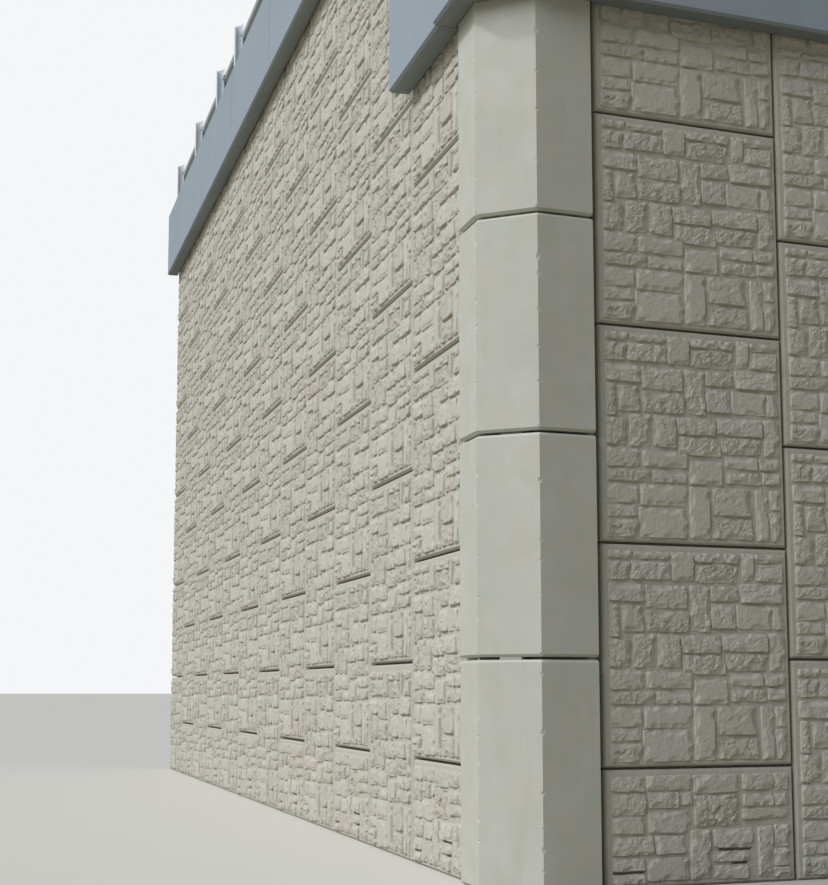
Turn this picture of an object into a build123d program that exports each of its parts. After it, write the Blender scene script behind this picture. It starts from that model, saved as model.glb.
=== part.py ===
"""Corner of a mechanically stabilized earth wall: precast panels in staggered
columns on two wings, a stack of faceted corner blocks, cast copings with a
barrier face, and a post and beam rail on the high coping.

Millimetres, +Z up. The long wing runs along -X and faces -Y. The short wing
leaves the corner at wing_angle. The origin lies at ground level, in the
middle of the corner blocks' front wall.
"""
import os
from math import atan, ceil, cos, degrees, radians, sin, tan

from build123d import *

# Driving dimensions: plan
wing_angle = 81.0            # inside angle between the two wings, degrees
column_pitch = 1524.0        # width of a panel and its joint
joint = 19.0                 # open joint all round a panel
left_columns = 12
right_columns = 4
low_columns = 1              # columns of the long wing under the low coping

# Driving dimensions: heights of joint centres and tops
first_joint_odd = 790.0      # half panels start the odd columns
first_joint_even = 1530.0    # whole panels start the even columns
panel_rise = 1524.0
low_underside = 6140.0
high_underside = 8470.0
coping_lap = 100.0           # depth of a panel's top inside the coping
shortest_top_panel = 450.0   # a shorter remainder is cast onto the panel below

# Panels
panel_thickness = 178.0      # from the back to the faces of the cast stones
front_slab = 100.0           # from the stone faces to the lips
stone_relief = 24.0          # the field of stones stands out from its flat margin
stone_lean = 8.0             # how far the field's sides lean in over that depth
margin = 42.0                # from the panel's edge to the foot of the field
edge_chamfer = 15.0
ship_lap = 38.0
lap_clearance = 10.0

# Corner blocks
corner_proud = 30.0          # corner faces stand out from the panel faces
mid_facet = 465.0
side_facet = 432.0
corner_joint = 60.0          # open joint between the blocks and the first column
block_rise = 1524.0
arris = 18.0

# Copings
overhang = 180.0             # outer face of the coping from the panel face
slot_clearance = 10.0
back_leg = 115.0
coping_height = 1067.0
coping_arris = 20.0
coping_joint = 12.0
barrier_top_width = 300.0
barrier_above_road = 813.0
curb_rise = 75.0
slope_rise = 180.0
slope_run = 127.0
columns_per_segment = 2

# Rail on the high coping
post_spacing = 2438.0
short_bay = 1800.0
bays_before_short = 3
first_post = 2040.0          # from the near edge of the high coping
post_depth = 106.0
flange_width = 102.0
flange_thickness = 9.0
web_thickness = 7.0
post_setback = 60.0          # outer flange behind the coping's outer face
post_height = 720.0
post_top_fall = 45.0
plate_length = 200.0
plate_width = 160.0
plate_thickness = 19.0
cut_margin = 1.0             # how far a cutter reaches past what it cuts
beam_depth = 312.0
beam_projection = 83.0
beam_thickness = 4.0
beam_lip = 12.0              # height of the return at the beam's two edges
beam_lip_depth = 44.0
beam_crest = 50.0            # height of each flat crest
beam_valley = 75.0           # height of the flat against the posts
beam_end = 150.0
beam_gap = 6.0

# Bearing pads, tie strips and filter cloth
pad_length = 100.0
pad_width = 56.0
pad_offset = 460.0
tie_width = 50.0
tie_thickness = 8.0
tie_length = 90.0
tie_columns_offset = 380.0
tie_edge = 330.0
cloth_width = 300.0
cloth_thickness = 3.0
cloth_gap = 6.0              # between a strip along the joints and those across it

parts_folder = "parts"
os.makedirs(parts_folder, exist_ok=True)

# Derived plan values
half_angle = wing_angle / 2
facet_corner = mid_facet / 2 / sin(radians(half_angle))
corner_reach = facet_corner - corner_proud / tan(radians(half_angle)) + side_facet
columns_start = corner_reach + corner_joint
panel_width = column_pitch - joint
lip_thickness = panel_thickness - front_slab - lap_clearance
chamfer_foot = stone_relief + edge_chamfer
field_taper = degrees(atan(stone_lean / stone_relief))
low_top = low_underside + coping_height
high_top = high_underside + coping_height
low_seat = low_underside + coping_lap
high_seat = high_underside + coping_lap
high_start = columns_start + low_columns * column_pitch

# Setting-out point, where the two panel faces would meet
bisector = Vector(-cos(radians(half_angle)), sin(radians(half_angle)), 0)
facet_distance = facet_corner * cos(radians(half_angle))
facet_distance -= corner_proud / sin(radians(half_angle))
block_thickness = panel_thickness + corner_proud
setting_out = bisector * -(facet_distance + block_thickness / 2)


class Wing:
    """One face of the wall: where it starts, which way it runs and which way it faces."""

    def __init__(self, along, outward, side):
        self.along = along
        self.outward = outward
        self.side = side

    def point(self, t, out, z=0.0):
        """Point at distance t along the wing, out from its panel face, at height z."""
        return setting_out + self.along * t + self.outward * out + Vector(0, 0, z)

    def face_plane(self, out):
        """Upright plane parallel to the wing, with local y up."""
        return Plane(origin=self.point(0, out), x_dir=self.along * self.side, z_dir=self.outward)

    def section_plane(self, t):
        """Upright plane across the wing, with local x outward and local y up."""
        return Plane(origin=self.point(t, 0), x_dir=self.outward, z_dir=self.along * -self.side)


left = Wing(Vector(-1, 0, 0), Vector(0, -1, 0), -1)
turn = radians(180 - wing_angle)
right = Wing(Vector(cos(turn), sin(turn), 0), Vector(sin(turn), -cos(turn), 0), 1)


def save(part, name):
    part.label = name
    export_step(part, f"{parts_folder}/{name}.step")


def column_joints(index, seat):
    """Heights of the joint centres of a column, from the ground to its seat."""
    first = first_joint_odd if index % 2 else first_joint_even
    levels = []
    level = first
    while seat - level > shortest_top_panel:
        levels.append(level)
        level += panel_rise
    return levels


def panel_spans(index, seat):
    """Bottom and top of each panel's front slab in a column."""
    levels = column_joints(index, seat)
    bottoms = [0.0] + [level + joint / 2 for level in levels]
    tops = [level - joint / 2 for level in levels] + [seat]
    return list(zip(bottoms, tops))


def rectangles(wing, spans):
    """Upright rectangles on a face plane: near and far edge, bottom and top."""
    for near, far, bottom, top in spans:
        with Locations((wing.side * (near + far) / 2, (bottom + top) / 2)):
            Rectangle(far - near, top - bottom)


# Panels

def column_start(index):
    return columns_start + (index - 1) * column_pitch


def column_middle(index):
    """Middle of the lips of a column."""
    return column_start(index) + (panel_width + ship_lap) / 2


def build_column(wing, index, seat, last):
    """A stack of ship-lapped panels, each a field of stone in a chamfered margin."""
    near = column_start(index)
    far = near + panel_width
    lip = 0 if last else ship_lap
    spans = panel_spans(index, seat)
    fields, fronts, cores, lips = [], [], [], []
    for bottom, top in spans:
        foot = bottom if bottom == 0 else bottom + ship_lap
        head = top if top == seat else top + ship_lap
        fields.append((near + margin, far - margin, bottom + margin, top - margin))
        fronts.append((near, far, bottom, top))
        cores.append((near + ship_lap, far, foot, top))
        lips.append((near + ship_lap, far + lip, foot, head))
    with BuildPart() as column:
        with BuildSketch(wing.face_plane(-front_slab)):
            rectangles(wing, fronts)
        extrude(amount=front_slab - chamfer_foot)
        with BuildSketch(wing.face_plane(-chamfer_foot)):
            rectangles(wing, fronts)
        extrude(amount=edge_chamfer, taper=45)
        with BuildSketch(wing.face_plane(-stone_relief)):
            rectangles(wing, fields)
        extrude(amount=stone_relief, taper=field_taper)
        with BuildSketch(wing.face_plane(-panel_thickness)):
            rectangles(wing, cores)
        extrude(amount=panel_thickness - front_slab)
        with BuildSketch(wing.face_plane(-panel_thickness)):
            rectangles(wing, lips)
        extrude(amount=lip_thickness)
    return column.part


# Corner blocks

def corner_path(out):
    """The four plan corners of a line that runs round the corner, out from the block faces."""
    start = left.point(corner_reach, corner_proud + out)
    end = right.point(corner_reach, corner_proud + out)
    bend_left = left.point(corner_reach - side_facet, corner_proud)
    bend_right = right.point(corner_reach - side_facet, corner_proud)
    bend_left += (left.outward - bisector) * (out / (1 - left.outward.dot(bisector)))
    bend_right += (right.outward - bisector) * (out / (1 - right.outward.dot(bisector)))
    return [start, bend_left, bend_right, end]


def corner_ring(outer, inner, extend=0.0):
    """Plan outline between two parallel lines round the corner."""
    outer_line = corner_path(outer)
    inner_line = corner_path(inner)
    for line in (outer_line, inner_line):
        line[0] += left.along * extend
        line[3] += right.along * extend
    with BuildLine() as outline:
        Polyline(*outer_line, *reversed(inner_line), close=True)
    make_face(outline.edges())


def build_corner_block(bottom, top, is_top):
    """A bent slab with three faces, and lips behind the first column of each wing."""
    height = top - bottom
    foot = bottom if bottom == 0 else bottom + ship_lap
    head = top if is_top else top + ship_lap
    front = -(corner_proud + front_slab)
    with BuildPart() as block:
        with BuildSketch(Plane.XY.offset(bottom)):
            corner_ring(0, front)
        extrude(amount=height)
        faces = corner_path(0)
        front_edges = [
            edge for edge in block.edges().filter_by(Plane.XY)
            if any(
                edge.distance_to(Vertex(*((a + b) * 0.5 + Vector(0, 0, z)))) < 1
                for a, b in zip(faces, faces[1:]) for z in (bottom, top)
            )
        ]
        chamfer(front_edges, arris)
        with BuildSketch(Plane.XY.offset(foot)):
            corner_ring(front, -block_thickness)
        extrude(amount=top - foot)
        with BuildSketch(Plane.XY.offset(foot)):
            corner_ring(front - lap_clearance, -block_thickness, corner_joint - joint + ship_lap)
        extrude(amount=head - foot)
    return block.part


# Copings

slot_outer = slot_clearance
slot_inner = -(panel_thickness + slot_clearance)
coping_back = slot_inner - back_leg


def slot_and_legs(underside):
    """Outline of the coping's foot: outer leg, panel slot and back leg."""
    seat = underside + coping_lap
    return [
        (slot_inner, underside),
        (slot_inner, seat),
        (slot_outer, seat),
        (slot_outer, underside),
        (overhang - coping_arris, underside),
        (overhang, underside + coping_arris),
    ]


def low_section(underside):
    """Low coping: a plain beam over the panels."""
    top = underside + coping_height
    return [(coping_back, underside)] + slot_and_legs(underside) + [
        (overhang, top - coping_arris),
        (overhang - coping_arris, top),
        (coping_back, top),
    ]


def high_section(underside):
    """High coping: the same foot under a traffic barrier with a sloped back."""
    top = underside + coping_height
    road = top - barrier_above_road
    top_back = overhang - barrier_top_width
    return [(coping_back, underside)] + slot_and_legs(underside) + [
        (overhang, top - coping_arris),
        (overhang - coping_arris, top),
        (top_back + coping_arris, top),
        (top_back, top - coping_arris),
        (coping_back + slope_run, road + curb_rise + slope_rise),
        (coping_back, road + curb_rise),
    ]


def build_coping(wing, near, far, section):
    """A length of coping with the given section."""
    points = [(out, z) for out, z in section]
    with BuildPart() as coping:
        with BuildSketch(wing.section_plane(near if wing.side < 0 else far)):
            with BuildLine():
                Polyline(*points, close=True)
            make_face()
        extrude(amount=far - near)
    return coping.part


def build_corner_coping():
    """The low coping carried round the corner blocks."""
    gap = corner_joint - joint / 2 - coping_joint / 2
    face_out = overhang
    inner_face = -(block_thickness + slot_clearance)
    back = coping_back - corner_proud
    with BuildPart() as cap:
        with BuildSketch(Plane.XY.offset(low_seat)):
            corner_ring(face_out, back, gap)
        extrude(amount=low_top - low_seat)
        with BuildSketch(Plane.XY.offset(low_underside)):
            corner_ring(face_out, slot_clearance, gap)
            corner_ring(inner_face, back, gap)
        extrude(amount=coping_lap)
        faces = corner_path(face_out)
        rims = [
            edge for edge in cap.edges().filter_by(Plane.XY)
            if any(
                edge.distance_to(Vertex(*((a + b) * 0.5 + Vector(0, 0, z)))) < 1
                for a, b in zip(faces, faces[1:]) for z in (low_underside, low_top)
            )
        ]
        chamfer(rims, coping_arris)
    return cap.part


# Rail

def post_places():
    """Distances of the posts from the near edge of the high coping."""
    length = (left_columns - low_columns) * column_pitch
    places = []
    place = first_post
    while place < length - beam_end:
        places.append(place)
        place += short_bay if len(places) == bays_before_short + 1 else post_spacing
    return places


post_outer = overhang - post_setback
post_inner = post_outer - post_depth


def build_posts():
    """Wide-flange posts with sloped tops on base plates."""
    with BuildPart() as posts:
        for place in post_places():
            t = high_start + place
            with BuildSketch(Plane.XY.offset(high_top + plate_thickness)):
                for near, far, inner, outer in (
                    (-flange_width / 2, flange_width / 2, post_outer - flange_thickness, post_outer),
                    (-flange_width / 2, flange_width / 2, post_inner, post_inner + flange_thickness),
                    (-web_thickness / 2, web_thickness / 2, post_inner, post_outer),
                ):
                    corners = [left.point(t + a, b) for a, b in (
                        (near, inner), (far, inner), (far, outer), (near, outer))]
                    with BuildLine():
                        Polyline(*corners, close=True)
                    make_face()
            extrude(amount=post_height - plate_thickness)
        for place in post_places():
            t = high_start + place
            top = high_top + post_height
            with BuildSketch(left.section_plane(t - flange_width)):
                with BuildLine():
                    Polyline(
                        (post_inner, top), (post_outer, top - post_top_fall),
                        (post_outer + cut_margin, top + cut_margin), (post_inner, top + cut_margin),
                        close=True)
                make_face()
            extrude(amount=2 * flange_width, mode=Mode.SUBTRACT)
        middle = (post_outer + post_inner) / 2
        with BuildSketch(Plane.XY.offset(high_top)):
            for place in post_places():
                centre = left.point(high_start + place, middle)
                with Locations((centre.X, centre.Y)):
                    Rectangle(plate_length, plate_width)
        extrude(amount=plate_thickness)
    return posts.part


def beam_profile():
    """Centre line of the two-crested beam, on the road side of the posts."""
    face = post_inner - beam_thickness / 2
    crest = face - beam_projection + beam_thickness
    lip = face - beam_lip_depth
    low = high_top + post_height - beam_depth
    middle = low + beam_depth / 2
    half = [
        (face, beam_valley / 2), (crest, beam_depth / 2 - beam_lip - beam_crest),
        (crest, beam_depth / 2 - beam_lip), (lip, beam_depth / 2),
    ]
    lower = [(out, middle - rise) for out, rise in reversed(half)]
    return lower + [(out, middle + rise) for out, rise in half]


def build_beams():
    """Corrugated beams, butted at every second post."""
    length = (left_columns - low_columns) * column_pitch
    places = post_places()
    splices = [beam_end] + places[2:-1:2] + [length - beam_end]
    with BuildPart() as beams:
        for near, far in zip(splices, splices[1:]):
            start = high_start + near + beam_gap / 2
            with BuildSketch(left.section_plane(start)):
                with BuildLine() as line:
                    Polyline(*beam_profile())
                trace(line.line, line_width=beam_thickness)
            extrude(amount=far - near - beam_gap)
    return beams.part


# Bearing pads, tie strips and filter cloth

def build_pads(wing, count, seat_of):
    """Two rubber pads in each joint, in the middle of the panels' lips."""
    places = [
        (wing.side * (column_middle(index) + shift), level + ship_lap)
        for index in range(1, count + 1)
        for level in column_joints(index, seat_of(index))
        for shift in (-pad_offset, pad_offset)
    ]
    back = -panel_thickness + (lip_thickness - pad_width) / 2
    with BuildPart() as pads:
        with BuildSketch(wing.face_plane(back)):
            with Locations(*places):
                Rectangle(pad_length, joint)
        extrude(amount=pad_width)
    return pads.part


def block_spans():
    """Bottom and top of each corner block."""
    count = int(low_seat // block_rise)
    levels = [block_rise * step for step in range(1, count)]
    bottoms = [0.0] + [level + joint / 2 for level in levels]
    tops = [level - joint / 2 for level in levels] + [low_seat]
    return list(zip(bottoms, tops))


def build_corner_pads():
    """Three pads in each joint of the corner blocks."""
    inner = corner_path(-block_thickness + lip_thickness / 2)
    with BuildPart() as pads:
        for bottom, _ in block_spans()[1:]:
            for start, end in zip(inner, inner[1:]):
                centre = (start + end) * 0.5 + Vector(0, 0, bottom - joint + ship_lap)
                plane = Plane(origin=centre, x_dir=end - start, z_dir=(0, 0, 1))
                with BuildSketch(plane):
                    Rectangle(pad_length, pad_width)
                extrude(amount=joint)
    return pads.part


def build_ties(wing, indexes, seat_of):
    """Galvanised tie strips cast into the backs of some columns' panels."""
    places = []
    for index in indexes:
        for bottom, top in panel_spans(index, seat_of(index)):
            rows = [(bottom + top) / 2]
            if top - bottom > 3 * tie_edge:
                rows = [bottom + tie_edge, min(top, bottom + panel_rise) - tie_edge]
            for shift in (-tie_columns_offset, tie_columns_offset):
                places += [(wing.side * (column_middle(index) + shift), row) for row in rows]
    with BuildPart() as ties:
        with BuildSketch(wing.face_plane(-panel_thickness - tie_length)):
            with Locations(*places):
                Rectangle(tie_width, tie_thickness)
        extrude(amount=tie_length)
    return ties.part


def build_cloth(wing, count, seat_of):
    """Strips of filter cloth over the joints at the back of the panels."""
    strips = []
    for index in range(1, count + 1):
        near = column_start(index) + ship_lap - joint / 2
        top = min(seat_of(index), seat_of(index - 1)) - coping_lap
        strips.append((near - cloth_width / 2, near + cloth_width / 2, 0, top))
        start = near + cloth_width / 2 + cloth_gap
        end = near + column_pitch - (joint if index == count else cloth_width / 2 + cloth_gap)
        for level in column_joints(index, seat_of(index)):
            middle = level + ship_lap
            strips.append((start, end, middle - cloth_width / 2, middle + cloth_width / 2))
    with BuildPart() as cloth:
        with BuildSketch(wing.face_plane(-panel_thickness - cloth_thickness)):
            rectangles(wing, strips)
        extrude(amount=cloth_thickness)
    return cloth.part


def left_seat(index):
    return low_seat if index <= low_columns else high_seat


def right_seat(index):
    return low_seat


for index in range(1, left_columns + 1):
    save(build_column(left, index, left_seat(index), index == left_columns), f"left_column_{index:02d}")
for index in range(1, right_columns + 1):
    save(build_column(right, index, right_seat(index), index == right_columns), f"right_column_{index:02d}")
spans = block_spans()
for number, (bottom, top) in enumerate(spans, start=1):
    save(build_corner_block(bottom, top, number == len(spans)), f"corner_block_{number}")

coping_start = columns_start - joint / 2 + coping_joint / 2
save(build_coping(left, coping_start, high_start - joint, low_section(low_underside)), "low_coping_left")
save(build_corner_coping(), "low_coping_corner")
right_end = columns_start + right_columns * column_pitch - joint
segment = columns_per_segment * column_pitch
for number in range(ceil(right_columns / columns_per_segment)):
    near = coping_start + number * segment
    far = min(near + segment - coping_joint, right_end)
    save(build_coping(right, near, far, low_section(low_underside)), f"low_coping_right_{number + 1}")
high_columns = left_columns - low_columns
high_end = high_start + high_columns * column_pitch - joint
for number in range(ceil(high_columns / columns_per_segment)):
    near = high_start + number * segment
    far = min(near + segment - coping_joint, high_end)
    save(build_coping(left, near, far, high_section(high_underside)), f"high_coping_{number + 1}")

save(build_posts(), "rail_posts")
save(build_beams(), "rail_beams")
save(build_pads(left, left_columns, left_seat), "bearing_pads_left")
save(build_pads(right, right_columns, right_seat), "bearing_pads_right")
save(build_corner_pads(), "bearing_pads_corner")
tie_nodes = ("tie_strips_left", "tie_strips_left_middle", "tie_strips_left_far")
tie_share = ceil(left_columns / len(tie_nodes))
for step, name in enumerate(tie_nodes):
    indexes = range(1 + step * tie_share, min(left_columns, (step + 1) * tie_share) + 1)
    save(build_ties(left, indexes, left_seat), name)
save(build_ties(right, range(1, right_columns + 1), right_seat), "tie_strips_right")
save(build_cloth(left, left_columns, left_seat), "joint_cloth_left")
save(build_cloth(right, right_columns, right_seat), "joint_cloth_right")
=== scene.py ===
"""Corner of a mechanically stabilized earth wall: finishes, cast stone relief and fittings.

Metres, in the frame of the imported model: +Z up, the long wing runs along -X and
faces -Y, the short wing leaves the corner at wing_angle. Reliefs are worked out
in millimetres on the panel's own face and turned to metres at the end.
"""
from math import ceil, cos, pi, radians, sin

import bmesh
import bpy
import numpy as np
from bpy.props import (
    FloatProperty, FloatVectorProperty, IntProperty, PointerProperty, StringProperty,
)
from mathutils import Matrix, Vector


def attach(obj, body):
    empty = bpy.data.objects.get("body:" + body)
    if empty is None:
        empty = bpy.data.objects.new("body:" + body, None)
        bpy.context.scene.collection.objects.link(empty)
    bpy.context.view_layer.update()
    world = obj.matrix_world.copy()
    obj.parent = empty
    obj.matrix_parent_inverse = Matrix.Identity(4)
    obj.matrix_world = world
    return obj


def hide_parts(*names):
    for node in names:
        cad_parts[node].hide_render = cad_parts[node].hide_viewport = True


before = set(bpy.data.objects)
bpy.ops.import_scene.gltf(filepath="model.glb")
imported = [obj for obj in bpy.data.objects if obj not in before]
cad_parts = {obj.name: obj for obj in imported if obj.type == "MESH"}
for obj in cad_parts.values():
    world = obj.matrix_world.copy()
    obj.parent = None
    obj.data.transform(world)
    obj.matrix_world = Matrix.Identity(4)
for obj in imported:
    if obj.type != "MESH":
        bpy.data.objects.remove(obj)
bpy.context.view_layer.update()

bl_info = {
    "name": "Stone-faced retaining wall corner",
    "version": (1, 0, 0),
    "blender": (4, 5, 0),
    "location": "3D View > Sidebar > Wall",
    "description": "Casts the panels' stone relief, finishes concrete and steel, sets the stage",
    "category": "Add Mesh",
}

MM = 0.001
BODY = "root"

# Beds of a panel, mm
BED_CELL = 90  # of its grid
BED_WAVE = 1.5  # height of its waves
WAVE_SIZE = 90
WAVE_MARGIN = 30  # flat rim, and the width over which the waves begin
SLOT_SIDE = 3  # reach of a slot's side on each side of its edge
LOWEST_ROW = 60  # stones whose low edge lies under this are a liner's lowest row
LEAST_STONE = 20  # height of a stone cut at the top
HALF_PANEL_LIMIT = 1000  # a lower panel on the ground is a half panel
CAST_SPREAD = 0.15  # of the stain's tint from panel to panel
BED_TINT, BED_ROUGH = 0.5, 0.25
BACK_VALUES = (0.5, 0.3, 0.2)  # tint, depth for the painted shade and roughness of the backs and lips

# A stone's face, mm
FACE_LEVELS = (-8, -1)  # least and most of its plane's middle, from the datum
FACE_TILT = 4.5  # most that the plane rises from its middle to its rim
COARSE_FACETS, COARSE_FACET_SIZE = 17, 66
FINE_FACETS, FINE_FACET_SIZE = 9, 31
CHIP_SPACING = 24  # of a stone's half width and half height for each chip
CHIP_REACHES = (16, 46)
CHIP_STRETCHES = (1, 2.2)
CHIP_DEPTHS = (9, 22)
CHIP_RIM = 3  # of a chip over the face's plane
CHIP_SHARE, CHIP_EXTRA = 0.8, 6  # a chip spreads over at most this share of a half size, and this
LEAST_STAND = 5  # of a face over the bed
FOOT_DEPTH = 4  # of a stone's foot under the bed
LONG_WARP, SHORT_WARP = 2.5, 2  # of a stone's outline
NOISE_LATTICE, FACET_LATTICE = 128, 64  # points before a lattice repeats

# Chips in a corner block's arrises, mm
ARRIS_CHIP_HALVES = (9, 34)  # half heights
ARRIS_CHIP_DEPTHS = (2.5, 8.5)
ARRIS_CHIP_STEPS = (110, 420)
ARRIS_CHIP_SLANT = 0.4  # along the facet for each mm inwards

# Fittings, mm
BEAM_THICKNESS = 4.0
POST_FLANGE = 9.0
ANCHOR_REACH = (76, 56)  # from a post's middle, along the wing and across it
POST_BOLT_OFFSET = 28  # a beam's bolt from a post's middle
LAP_BOLTS_ALONG = (-110, -70, 70, 110)  # where two beams lap, from a post's middle
LAP_BOLTS_IN_VALLEY = (-24, 24)  # levels, from the beam's middle
LAP_BOLTS_ON_CRESTS = (-119, 119)
TIE_THICKNESS = 8.0
TIE_BOLT_INSET = 25.0  # from a tie strip's free end
SHIM_SETBACKS = (19.0, 58.0, 58.0)  # behind the corner's middle facet; the lowest worked forward
SHIM_ARRIS = 2.5

# Floor, m
FLOOR_RADIUS = 600.0
FLOOR_SIDES = 96
FLOOR_DROP = 0.002

# Stones of a whole panel's form liner: left, low, right and high edge in mm
WHOLE_LINER = (
    (50, 30, 278, 158), (50, 172, 284, 252), (50, 266, 284, 402), (302, 32, 680, 240),
    (308, 258, 684, 402), (708, 34, 862, 402), (893, 40, 1217, 186), (892, 208, 1200, 396),
    (1253, 34, 1348, 404), (1376, 34, 1455, 240), (1378, 256, 1455, 402),
    (50, 422, 392, 506), (410, 422, 682, 504), (712, 422, 974, 590), (1008, 430, 1306, 516),
    (1314, 440, 1455, 524), (1012, 542, 1276, 628), (1290, 542, 1455, 622),
    (50, 522, 300, 652), (332, 524, 682, 640),
    (50, 670, 198, 860), (236, 666, 398, 892), (426, 668, 602, 894), (628, 620, 966, 756),
    (618, 770, 938, 892), (946, 778, 1320, 908), (976, 642, 1306, 760), (1340, 642, 1454, 912),
    (50, 874, 120, 1098), (150, 910, 310, 1088), (330, 908, 668, 1054), (330, 1072, 656, 1228),
    (50, 1112, 314, 1238), (694, 916, 846, 1232), (860, 938, 1052, 1106), (860, 1124, 1082, 1230),
    (1072, 938, 1354, 1102), (1368, 932, 1454, 1098), (1100, 1120, 1455, 1254),
    (50, 1262, 212, 1392), (218, 1262, 536, 1392), (50, 1406, 238, 1462), (246, 1406, 532, 1462),
    (548, 1260, 722, 1464), (736, 1252, 1082, 1382), (730, 1398, 972, 1464),
    (984, 1396, 1096, 1464), (1128, 1278, 1212, 1464), (1236, 1270, 1454, 1394),
    (1236, 1404, 1454, 1462),
)
WHOLE_LINER_RISE = 1474
TOP_MARGIN = 41

# Stones of a half panel's form liner
HALF_LINER = (
    (50, 30, 288, 92), (50, 114, 298, 198), (50, 214, 362, 338), (50, 354, 300, 464),
    (50, 478, 306, 618), (50, 634, 300, 738), (322, 640, 672, 738), (690, 616, 1064, 738),
    (1082, 630, 1326, 738), (1340, 624, 1455, 738), (330, 524, 566, 626), (578, 538, 674, 618),
    (692, 392, 1050, 600), (1088, 520, 1330, 602), (1340, 520, 1455, 602), (1072, 428, 1455, 502),
    (330, 354, 654, 500), (380, 214, 612, 336), (656, 40, 814, 368), (838, 240, 1152, 372),
    (838, 146, 1130, 218), (838, 32, 1110, 128), (1198, 40, 1316, 382), (1338, 240, 1455, 384),
    (1330, 110, 1455, 226), (1330, 32, 1455, 96), (316, 44, 632, 188),
)
# Deep slots under three of its stones
HALF_LINER_SLOTS = ((884, 220, 1150, 238), (988, 130, 1112, 146), (56, 94, 292, 112))


class ReliefSizes(bpy.types.PropertyGroup):
    """Sizes of the cast stone relief, in millimetres on the panel's face"""
    wing_angle: FloatProperty(
        name="Wing angle", description="Inside angle between the two wings",
        default=radians(81), subtype="ANGLE")
    front_slab: FloatProperty(
        name="Front slab", description="Depth of a panel in front of its lips, mm", default=100)
    bed: FloatProperty(
        name="Bed", description="Depth of the beds behind the stones' faces, mm", default=24)
    chamfer: FloatProperty(
        name="Chamfer", description="Size of the chamfer round a panel, mm", default=15)
    grow: FloatProperty(
        name="Grow", description="How far a stone's foot reaches past its liner, mm", default=3)
    edge: FloatProperty(name="Edge", description="Width of a stone's side, mm", default=7)
    corner: FloatProperty(name="Corner", description="Radius of a stone's corners, mm", default=13)
    skew: FloatProperty(
        name="Skew", description="How far a stone's corners are out of square, mm", default=5)
    slot: FloatProperty(name="Slot", description="Depth of a slot under the bed, mm", default=34)
    chip_reach: FloatProperty(
        name="Chip reach", description="Width of a chip on each side of a corner block's arris, mm",
        default=13)
    seed: IntProperty(name="Seed", description="Draw of the stones' chips", default=11)


class FinishColours(bpy.types.PropertyGroup):
    """Colours of the finishes, as sRGB hex"""
    panel: StringProperty(name="Panel", description="Stained panel concrete", default="C5C3BD")
    # Colour of the dirt in wash lines and streaks, and also of the painted shade in the panels'
    # beds and the blocks' air holes
    panel_dirt_and_shade: StringProperty(
        name="Panel dirt", description="Dust and algae in the beds", default="8F8D7B")
    # Painted shade, warm like light thrown up by the wall, on the copings' faces that look down
    painted_shade: StringProperty(name="Algae", description="Growth under the copings", default="5A5C45")
    block: StringProperty(name="Block", description="Stained smooth concrete", default="C3C5C0")
    coping: StringProperty(name="Coping", description="Blue-grey coating", default="9CA9B6")
    zinc: StringProperty(name="Zinc", description="Galvanised posts", default="EAF2FB")
    dull_zinc: StringProperty(name="Dull zinc", description="Beams and ties", default="A9B1B2")
    pad: StringProperty(name="Pad", description="Bearing pads", default="1A1A1A")
    shim: StringProperty(name="Shim", description="Shims in the corner's joints", default="B9BAB2")
    cloth: StringProperty(name="Cloth", description="Filter cloth", default="2E2F30")
    mud: StringProperty(name="Mud", description="Mud stains on the filter cloth", default="6B6250")
    floor: StringProperty(name="Floor", description="Studio floor", default="D6D6D2")
    floor_bounce: StringProperty(
        name="Floor bounce", description="Floor as its light reaches the wall", default="A39E8B")
    sky: StringProperty(name="Sky", description="Light of the surroundings", default="E9EEF4")
    backdrop: StringProperty(name="Backdrop", description="Surroundings as seen", default="F4F6F8")


class FittingSizes(bpy.types.PropertyGroup):
    """Sizes of the bolts, nuts and shims, in millimetres"""
    anchor: FloatProperty(
        name="Anchor", description="Diameter of a base plate's anchor bolt, mm", default=22)
    anchor_stand: FloatProperty(
        name="Stand", description="Height of an anchor bolt over its plate, mm", default=48)
    beam_bolt: FloatProperty(
        name="Beam bolt", description="Diameter of a beam's bolt, mm", default=16)
    tie_bolt: FloatProperty(
        name="Tie bolt", description="Diameter of a tie strip's bolt, mm", default=12.7)
    shim_length: FloatProperty(
        name="Shim length", description="Length of a shim in the corner's joints, mm", default=160)
    shim_depth: FloatProperty(
        name="Shim depth", description="Depth of a shim in the corner's joints, mm", default=70)


class StageLook(bpy.types.PropertyGroup):
    """Camera, lamps and floor"""
    eye: FloatVectorProperty(
        name="Eye", description="Place of the camera",
        default=(11.494, -3.593, 1.316), subtype="TRANSLATION")
    heading: FloatVectorProperty(
        name="Heading", description="Level direction of view", size=2, default=(-0.96985, 0.24371))
    pitch: FloatProperty(
        name="Pitch", description="Upward tilt", default=radians(7.938), subtype="ANGLE")
    lens: FloatProperty(
        name="Lens", description="Focal length on a 36 mm long side", default=72.12, unit="CAMERA")
    key: FloatProperty(
        name="Key", description="Strength of the wide lamp that rakes the short wing", default=1.78)
    sun: FloatProperty(
        name="Sun", description="Strength of the small lamp on the long wing", default=1.42)
    sky: FloatProperty(name="Sky", description="Strength of the plain surroundings", default=0.24)


def linear(colour):
    """sRGB hex to linear RGBA."""
    channels = [int(colour[place:place + 2], 16) / 255 for place in (0, 2, 4)]
    return [c / 12.92 if c <= 0.04045 else ((c + 0.055) / 1.055) ** 2.4 for c in channels] + [1.0]


def per_metre(size):
    """Texture scale for a pattern whose features are size mm apart."""
    return 1000.0 / size


# Meshes

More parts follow.
